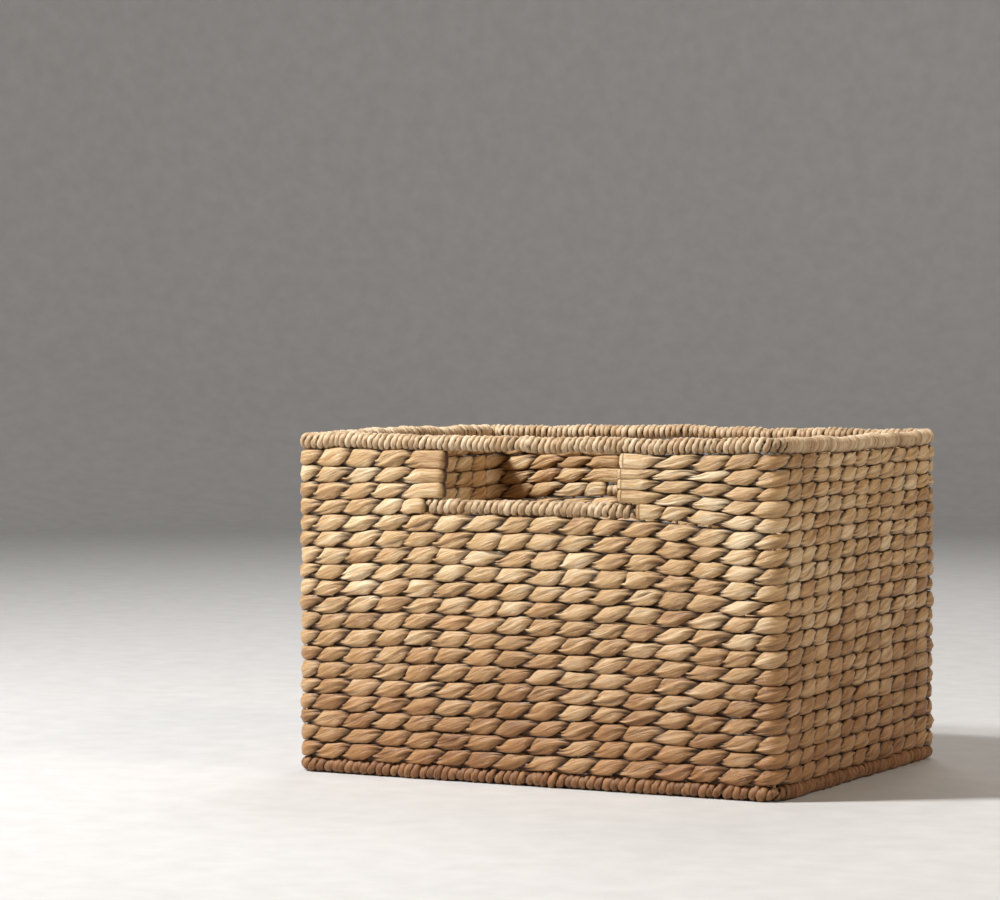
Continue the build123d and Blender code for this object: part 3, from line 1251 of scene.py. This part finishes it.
# ---- the basket ------------------------------------------------------------------------------
@dataclass
class Basket:
    """The whole basket, built in the order in which it is woven.

    The pitches are the lengths along a rod from one turn of cord to the next.
    """

    sizes: FrameSizes
    seed: int = 41
    rim_pitch: float = 5.6
    foot_pitch: float = 7.2
    foot_uneven: float = 3.0
    bar_pitch: float = 6.4

    def __post_init__(self) -> None:
        """Sets out the wall and makes the finishes."""
        self.path = WallPath(self.sizes.wall_x, self.sizes.wall_y, self.sizes.bend)
        self.wall = Wall(self.sizes, self.path, np.random.default_rng(self.seed))
        self.weave = Finish.WALL.value.make()
        self.cord = Finish.CORD.value.make()
        self.foot_cord = Finish.FOOT.value.make()
        self.wire = Finish.WIRE.value.make()

    def dress_frame(self) -> None:
        """Gives the CAD rods, stakes and posts their lacquer."""
        for name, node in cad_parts.items():
            if any(word in name for word in ("rod", "stakes", "posts", "wires")):
                node.data.materials.clear()
                node.data.materials.append(self.wire)

    def weave_wall(self) -> None:
        """Makes every course of the wall."""
        maker = CourseMaker(self.wall, self.weave)
        for number in range(1, self.wall.full_courses + 1):
            maker.full(number, self.seed + number)
        for side, shares in ((-1, self.wall.left_shares), (1, self.wall.right_shares)):
            for number in range(1, len(shares) + 2):
                maker.run(side, number, self.seed + 50 + 10 * side + number)

    def wind_ring(
        self, node: str, z: float, winding: Winding, material: bpy.types.Material
    ) -> None:
        """Winds cord round the rim rod or the foot rod.

        Args:
            node: the CAD node that the cord stands for.
            z: the rod's height.
            winding: the cord's sizes.
            material: the cord's finish.
        """
        # the rim moves with the wall's top edge, and the foot stays on the floor
        radius = winding.outside_radius
        edge = z - radius if z > radius + 1.0 else z

        def place(s: Array) -> Track:
            """Returns the rod's middle at lengths along it."""
            height = z + self.wall.waviness(s, np.full_like(s, edge))
            return self.path.track(s, height)

        skin = Skin()
        winding.wind(skin, self.path.length, place, closed=True)
        for points in skin.points:
            points[:, 2] = np.maximum(points[:, 2], 0.0)  # the foot cord is flat where it stands
        skin.stand_for(node, "wound", material)

    def wind_bar(self, node: str, side: int, seed: int) -> None:
        """Winds cord round a handle rod.

        Args:
            node: the CAD node that the cord stands for.
            side: -1 for the front wall and 1 for the back wall.
            seed: the seed of its random draws.
        """
        sizes = self.sizes

        def place(s: Array) -> Track:
            """Returns the rod's middle at lengths from its end."""
            ones = np.ones_like(s)
            x = (s - sizes.bar_half) * -side
            base = np.column_stack([x, ones * side * sizes.wall_y, ones * sizes.bar_z])
            out = np.tile([0.0, float(side), 0.0], (len(s), 1))
            return Track(base, out, np.tile(UPWARD, (len(s), 1)))

        skin = Skin()
        rng = np.random.default_rng(seed)
        winding = Winding(rng, sizes.rod_radius, sizes.bar_radius, self.bar_pitch)
        winding.wind(skin, 2 * sizes.bar_half, place, closed=False)
        skin.stand_for(node, "wound", self.cord)

    def weave_floor(self, rows: int = 24, wires: int = 15) -> None:
        """Makes the woven mat inside the foot.

        Args:
            rows: the number of courses across the floor.
            wires: the number of floor wires that they pass round.
        """
        sizes = self.sizes
        fold_reach, step, held, strap_fade = 5.7, 3.4, 3.0, 12.0
        end = sizes.floor_x - fold_reach
        pitch = 2 * sizes.floor_y / rows
        s = np.linspace(-end, end, int(2 * end / step))
        index = (s + end) / (2 * end) * (wires - 1)
        flat = 1.0 - ease((end - np.abs(s) - held) / strap_fade)
        half = np.full(len(s), pitch / 2)
        ones = np.ones((len(s), 1))
        maker = CourseMaker(self.wall, self.weave)
        skin = Skin()
        for row in range(rows):
            ply = Ply(
                np.random.default_rng(self.seed + 200 + row),
                Section(around=14),
                swing=2.8,
                thick=2.6,
                thick_at_cross=3.1,
                strap_swing=3.4,
                strap_thick=1.7,
                fold_depth=0.2,
            )
            flow = wander(ply.rng, s + end, 60.0, 0.35)
            y = -sizes.floor_y + (row + 0.5) * pitch + flow
            base = np.column_stack([s, y, np.full(len(s), sizes.floor_z)])
            track = Track(base, ones * UPWARD, ones * [[0.0, 1.0, 0.0]])
            maker.looped(skin, ply, track, index, half, flat)
        maker.dress(skin, "floor_courses")

    def build(self) -> None:
        """Builds every piece."""
        sizes = self.sizes
        self.dress_frame()
        self.weave_wall()
        rim, foot = (np.random.default_rng(self.seed + number) for number in (101, 102))
        rim_cord = Winding(rim, sizes.rod_radius, sizes.rim_radius, self.rim_pitch)
        foot_cord = Winding(
            foot, sizes.rod_radius, sizes.foot_radius, self.foot_pitch, uneven=self.foot_uneven
        )
        self.wind_ring("rim_wrap", sizes.rim_z, rim_cord, self.cord)
        self.wind_ring("foot_wrap", sizes.foot_z, foot_cord, self.foot_cord)
        self.wind_bar("front_handle_wrap", -1, self.seed + 103)
        self.wind_bar("back_handle_wrap", 1, self.seed + 104)
        self.weave_floor()


# ---- stage, lights and camera ----------------------------------------------------------------
BASKET_MIDDLE = (0.0, 0.0, 0.12)  # where the lights are aimed, in metres


@dataclass(frozen=True)
class Studio:
    """A pale floor, soft lights and the camera. Lengths are in metres and angles in radians."""

    eye: tuple[float, float, float] = (1.3282, -2.7326, 0.3733)
    yaw: float = 0.4874
    pitch: float = 0.0324
    lens: float = 125.28
    sensor_width: float = 36.0
    room: float = 3.7
    cove: float = 1.2
    inner_ring: float = 1.0
    wall_top: float = 5.0
    around: int = 96

    def floor_material(self) -> bpy.types.Material:
        """Makes the floor's matt, faintly mottled grey."""
        graph = Graph("stage_floor")
        grain = graph.noise(graph.node("ShaderNodeTexCoord").outputs["Object"], 30.0, 3.0)
        colour = graph.ramp(grain, [(0.3, (0.50, 0.49, 0.48)), (0.7, (0.55, 0.54, 0.53))])
        graph.finish(colour, 0.8, grain, 0.0002)
        return graph.material

    def floor(self) -> None:
        """Lays the pale floor, a disc that curves up into a round wall far from the basket.

        Its profile is a flat, a quarter of a circle and an upright, turned about the middle.
        """
        bend = np.linspace(0.0, math.pi / 2, 13)
        reach = np.concatenate([[self.inner_ring], self.room + self.cove * np.sin(bend)])
        height = np.concatenate([[0.0], self.cove * (1.0 - np.cos(bend))])
        reach, height = np.append(reach, reach[-1])[:, None], np.append(height, self.wall_top)
        angle = np.linspace(0, 2 * math.pi, self.around, endpoint=False)
        tall = np.repeat(height[:, None], self.around, axis=1)
        points = np.stack([reach * np.cos(angle), reach * np.sin(angle), tall], axis=-1)
        points = np.concatenate([points.reshape(-1, 3), np.zeros((1, 3))])
        ring = np.arange(self.around)
        after = (ring + 1) % self.around
        here = self.around * np.arange(len(reach) - 1)[:, None]
        above = here + self.around
        quads = np.stack([here + ring, above + ring, above + after, here + after], axis=-1)
        fan = np.stack([ring, after, np.full(self.around, len(points) - 1)], axis=1)
        mesh = bpy.data.meshes.new("stage_floor")
        mesh.from_pydata(points.tolist(), [], quads.reshape(-1, 4).tolist() + fan.tolist())
        mesh.polygons.foreach_set("use_smooth", np.ones(len(mesh.polygons), bool))
        mesh.materials.append(self.floor_material())
        made = bpy.data.objects.new("stage_floor", mesh)
        bpy.context.scene.collection.objects.link(made)

    def lamp(
        self,
        name: str,
        place: tuple[float, float, float],
        size: float,
        watts: float,
        colour: Colour = (1.0, 1.0, 1.0),
    ) -> None:
        """Adds a square soft light aimed at the basket's middle.

        Args:
            name: the light's name.
            place: where it stands.
            size: its side.
            watts: its power.
            colour: its colour.
        """
        light = bpy.data.lights.new(name, "AREA")
        light.size = size
        light.energy = watts
        light.color = colour
        made = bpy.data.objects.new(name, light)
        made.location = place
        made.rotation_mode = "QUATERNION"
        aim = Vector(BASKET_MIDDLE) - Vector(place)
        made.rotation_quaternion = aim.to_track_quat("-Z", "Y")
        bpy.context.scene.collection.objects.link(made)

    def light(self) -> None:
        """Sets the soft lights: a key from the front left, a weak fill and a sky."""
        self.lamp("key_light", (-1.45, -1.35, 2.2), 0.36, 128.0)
        self.lamp("fill_light", (2.5, -0.2, 2.1), 0.8, 34.0, (1.0, 0.86, 0.69))
        self.lamp("back_light", (-0.5, 2.0, 2.2), 1.2, 26.0)
        world = bpy.data.worlds.new("studio_sky")
        world.use_nodes = True
        sky = world.node_tree.nodes["Background"]
        sky.inputs["Color"].default_value = (0.80, 0.81, 0.82, 1.0)
        sky.inputs["Strength"].default_value = 0.10
        bpy.context.scene.world = world

    def camera(self) -> None:
        """Places the camera, turned left by yaw from the back's direction and down by pitch."""
        data = bpy.data.cameras.new("view_camera")
        data.lens = self.lens
        data.sensor_width = self.sensor_width
        made = bpy.data.objects.new("view_camera", data)
        level = math.cos(self.pitch)
        ahead = Vector(
            (-math.sin(self.yaw) * level, math.cos(self.yaw) * level, -math.sin(self.pitch))
        )
        made.location = self.eye
        made.rotation_mode = "QUATERNION"
        made.rotation_quaternion = ahead.to_track_quat("-Z", "Y")
        bpy.context.scene.collection.objects.link(made)
        bpy.context.scene.camera = made

    def set_up(self) -> None:
        """Makes the floor, the lights and the camera."""
        self.floor()
        self.light()
        self.camera()
        bpy.context.scene.view_settings.view_transform = "Standard"


def main() -> None:
    """Builds the basket and the studio."""
    logging.basicConfig(level=logging.INFO, format="%(name)s: %(message)s")
    Basket(FrameSizes.read()).build()
    Studio().set_up()


if __name__ == "__main__":
    main()
